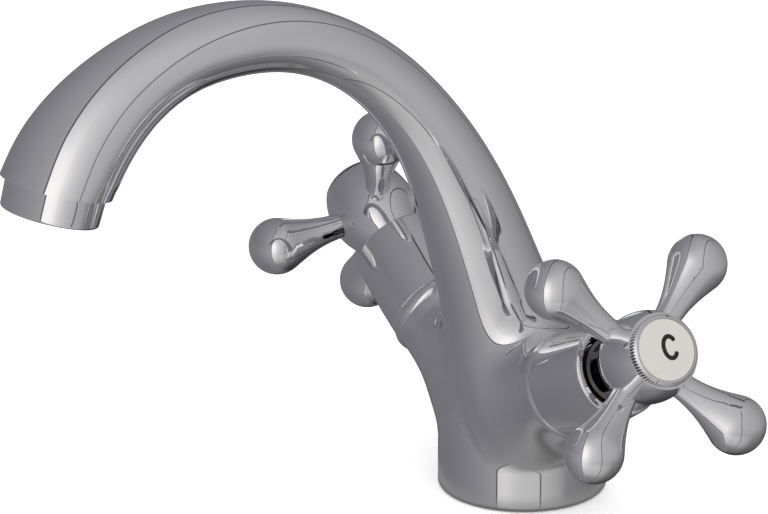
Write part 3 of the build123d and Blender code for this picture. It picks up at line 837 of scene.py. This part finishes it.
def seam_strip(skin, ring_points, ring_normals):
    """The faces that close the gap between the skin's open edge and the ring next to it.

    Both are followed round the ring's centre together, and each face takes the next point of
    whichever is behind.
    """
    points, normals, faces = skin
    centre = ring_points.mean(axis=0)
    one = ring_points[0] - centre
    two = ring_points[RING_POINTS // 4] - centre
    loop = min(open_loops(faces), key=lambda loop: np.linalg.norm(points[loop].mean(axis=0) - centre))
    off = points[loop] - centre
    edge = np.unwrap(np.arctan2(off @ two / (two @ two), off @ one / (one @ one)))
    way = 1 if edge[-1] > edge[0] else -1
    start = int(np.rint(edge[0] / (2 * math.pi) * RING_POINTS))
    around = [(start + way * k) % RING_POINTS for k in range(RING_POINTS + 1)]
    turns = (start + way * np.arange(RING_POINTS + 1)) * 2 * math.pi / RING_POINTS
    edge = np.append(edge, edge[0] + way * 2 * math.pi)
    count = len(loop)
    strip = []
    i = k = 0
    while i < count or k < RING_POINTS:
        here, there = i % count, count + around[k]
        if k == RING_POINTS or (i < count and way * edge[i + 1] <= way * turns[k + 1]):
            strip.append([(i + 1) % count, here, there])
            i += 1
        else:
            strip.append([here, there, count + around[k + 1]])
            k += 1
    both_points = np.concatenate((points[loop], ring_points))
    return both_points, np.concatenate((normals[loop], ring_normals)), strip


def circle(one, two):
    """Points round a circle of radius 1 that starts at one direction and turns towards two."""
    turn = np.arange(RING_POINTS) * 2 * math.pi / RING_POINTS
    return np.cos(turn)[:, None] * one + np.sin(turn)[:, None] * two


def handedness(axes):
    """1 for right-handed directions and -1 for left-handed ones."""
    return 1 if np.dot(np.cross(axes[0], axes[1]), axes[2]) > 0 else -1


def turned_strip(profile, place, axes):
    """A smooth strip turned about an axis: profile holds (radius, distance along the axis)."""
    profile = np.array(profile)
    run = np.gradient(profile, axis=0)
    lean = np.stack((run[:, 1], -run[:, 0]), axis=1)
    lean = lean / np.linalg.norm(lean, axis=1)[:, None]
    ring = circle(axes[0], axes[1])
    points = place + profile[:, 0, None, None] * ring + profile[:, 1, None, None] * axes[2]
    out = lean[:, 0, None, None] * ring + lean[:, 1, None, None] * axes[2]
    faces = ring_faces(len(profile))
    if handedness(axes) < 0:
        faces = faces[:, ::-1]
    return points.reshape(-1, 3), out.reshape(-1, 3), faces


def flat_end(radius, height, place, axes, facing):
    """A flat round floor, facing along the axis (1) or against it (-1)."""
    ring = circle(axes[0], axes[1])
    order = list(range(RING_POINTS))
    if handedness(axes) * facing < 0:
        order.reverse()
    points = place + radius * ring + height * axes[2]
    return points, np.tile(facing * axes[2], (RING_POINTS, 1)), [order]


def ring_faces(rows):
    """The faces between rings of points that follow one another."""
    row, place = np.meshgrid(np.arange(rows - 1), np.arange(RING_POINTS), indexing="ij")
    after = (place + 1) % RING_POINTS
    near, far = row * RING_POINTS, (row + 1) * RING_POINTS
    return np.stack((near + place, near + after, far + after, far + place), axis=-1).reshape(-1, 4)


def spout_tube():
    """The spout from the top of the column to its lip."""
    last = len(RAIL) - 1
    rows = np.arange(SPOUT_FIRST - SPARE_RINGS * RING_STEP, last, RING_STEP)
    tilt = math.radians(OUTLET_TILT)
    mouth = np.array((-math.sin(tilt), -math.cos(tilt)))
    points = []
    for i in (*rows, last):
        share = ease(i, last + 1 - LIP_POINTS, last)
        heading = (1.0 - share) * RAIL_HEADING[i] + share * mouth
        heading = heading / np.linalg.norm(heading)
        upright = np.array((0.0, heading[1], -heading[0]))
        ring = circle(np.array((1.0, 0.0, 0.0)), upright)
        points.append(np.array((0.0, *RAIL[i, 1:])) + (RAIL[i, 0] - POLISH) * ring)
    points = np.array(points)
    along = np.gradient(points, axis=0)
    around = np.roll(points, -1, axis=1) - np.roll(points, 1, axis=1)
    out = np.cross(around, along)
    out = out / np.linalg.norm(out, axis=2)[:, :, None]
    points, out = points[SPARE_RINGS:], out[SPARE_RINGS:]
    return points.reshape(-1, 3), out.reshape(-1, 3), ring_faces(len(points))


def arc(centre, radius, start, end, count):
    """Points on an arc of a profile between two angles in degrees."""
    turn = np.radians(np.linspace(start, end, count))
    return np.stack((centre[0] + radius * np.cos(turn), centre[1] + radius * np.sin(turn)), axis=1)


def boss_end(side):
    """A valve boss's turned end: the bead, the face, the bore and its floor."""
    axes = valve_axes(side)
    middle, size = bead_circle()
    reach, height = (np.array((BEAD[0], BEAD[2])) - middle).T
    start, end = np.degrees(np.arctan2(height, reach))
    strips = [
        ((BOSS_RADIUS, BOSS_TURNED), BEAD[0]),
        arc(middle, size, start, end, 13),
        (BEAD[2], BOSS_BORES[0]),
        *zip(BOSS_BORES, BOSS_BORES[1:]),
    ]
    pieces = [turned_strip(strip, VALVE_START, axes) for strip in strips]
    return pieces + [flat_end(*BOSS_BORES[-1], VALVE_START, axes, 1)]


def bead_circle():
    """The centre and radius of the bead's arc."""
    start, middle, end = np.array(BEAD)
    rows = 2 * np.array((middle - start, end - start))
    sides = np.array((middle @ middle - start @ start, end @ end - start @ start))
    centre = np.linalg.solve(rows, sides)
    return centre, np.linalg.norm(start - centre)


def outlet_end():
    """The lip's flat face and the socket behind it."""
    tilt = math.radians(OUTLET_TILT)
    along = np.array((0.0, -math.sin(tilt), -math.cos(tilt)))
    side = np.array((1.0, 0.0, 0.0))
    axes = (side, np.cross(along, side), along)
    place = np.array((0.0, RAIL[-1, 1], RAIL[-1, 2]))
    strips = [
        ((RAIL[-1, 0] - POLISH, 0.0), (SOCKET_RADIUS, 0.0)),
        ((SOCKET_RADIUS, 0.0), (SOCKET_RADIUS, -SOCKET_DEPTH)),
    ]
    pieces = [turned_strip(strip, place, axes) for strip in strips]
    return pieces + [flat_end(SOCKET_RADIUS, -SOCKET_DEPTH, place, axes, 1)]


def base_end():
    """The base's wall, its rounded lower edge, the seal's groove and the holes underneath."""
    axes = np.eye(3)
    inner, outer, depth = SEAL_GROOVE
    edge = BASE_EDGE
    strips = [
        (arc((BASE_RADIUS - edge, edge), edge, -90.0, 0.0, 9), (0.0, 0.0)),
        (((BASE_RADIUS, edge), (BASE_RADIUS, BLEND_FOOT)), (0.0, 0.0)),
        (((outer, 0.0), (BASE_RADIUS - edge, 0.0)), (0.0, 0.0)),
        (((outer, depth), (outer, 0.0)), (0.0, 0.0)),
        (((inner, depth), (outer, depth)), (0.0, 0.0)),
        (((inner, 0.0), (inner, depth)), (0.0, 0.0)),
    ]
    strips += [(((radius, hole), (radius, 0.0)), (x, y)) for x, y, radius, hole in HOLES]
    pieces = [turned_strip(profile, np.array((*place, 0.0)), axes) for profile, place in strips]
    for x, y, radius, hole in HOLES:
        pieces.append(flat_end(radius, hole, np.array((x, y, 0.0)), axes, -1))
    return pieces


def underside():
    """The flat face inside the seal's groove, with its three holes."""
    face = bmesh.new()
    right, back, up = np.eye(3)
    for x, y, radius in ((0.0, 0.0, SEAL_GROOVE[0]), *(hole[:3] for hole in HOLES)):
        ring = [face.verts.new((x, y, 0.0) + radius * place) for place in circle(right, back)]
        for i in range(RING_POINTS):
            face.edges.new((ring[i - 1], ring[i]))
    bmesh.ops.triangle_fill(face, edges=face.edges[:], use_beauty=True, normal=(0.0, 0.0, -1.0))
    face.verts.index_update()
    points = np.array([v.co[:] for v in face.verts])
    faces = [[v.index for v in f.verts] for f in face.faces]
    faces = [f if face_turn(points[f]) < 0 else f[::-1] for f in faces]
    face.free()
    return points, np.tile(-up, (len(points), 1)), faces


def face_turn(corners):
    """Twice a flat face's area seen from above: positive when its corners run anticlockwise."""
    one, two = corners[1] - corners[0], corners[2] - corners[0]
    return one[0] * two[1] - one[1] * two[0]


def smooth_casting():
    """The base, column, spout and bosses as one finely divided skin."""
    skin, spout, base = skin_patch(), spout_tube(), base_end()
    bosses = [boss_end(side) for side in (1, -1)]
    pieces = [skin, spout, underside(), *outlet_end(), *base, *bosses[0], *bosses[1]]
    for points, normals, _ in (spout, bosses[0][0], bosses[1][0]):
        pieces.append(seam_strip(skin, points[:RING_POINTS], normals[:RING_POINTS]))
    points, normals, _ = base[1]
    pieces.append(seam_strip(skin, points[-RING_POINTS:], normals[-RING_POINTS:]))
    points, normals, faces = [], [], []
    count = 0
    for some_points, out, some_faces in pieces:
        points.append(some_points)
        normals.append(out)
        faces += [[int(i) + count for i in face] for face in some_faces]
        count += len(some_points)
    mesh = bpy.data.meshes.new("smooth_casting")
    mesh.from_pydata((np.concatenate(points) / MM).tolist(), [], faces)
    mesh.shade_smooth()
    mesh.normals_split_custom_set_from_vertices(np.concatenate(normals).tolist())
    body = bpy.data.objects.new("smooth_casting", mesh)
    bpy.context.scene.collection.objects.link(body)
    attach(body, "tap_body")
    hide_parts("body_casting")
    return body


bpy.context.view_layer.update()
dress_nodes()
smooth_casting().data.materials.append(bpy.data.materials["polished_chrome"])
floor()
painted_basin_patch()
studio_light()
light_tent()
camera()
bpy.context.scene.view_settings.view_transform = "Standard"
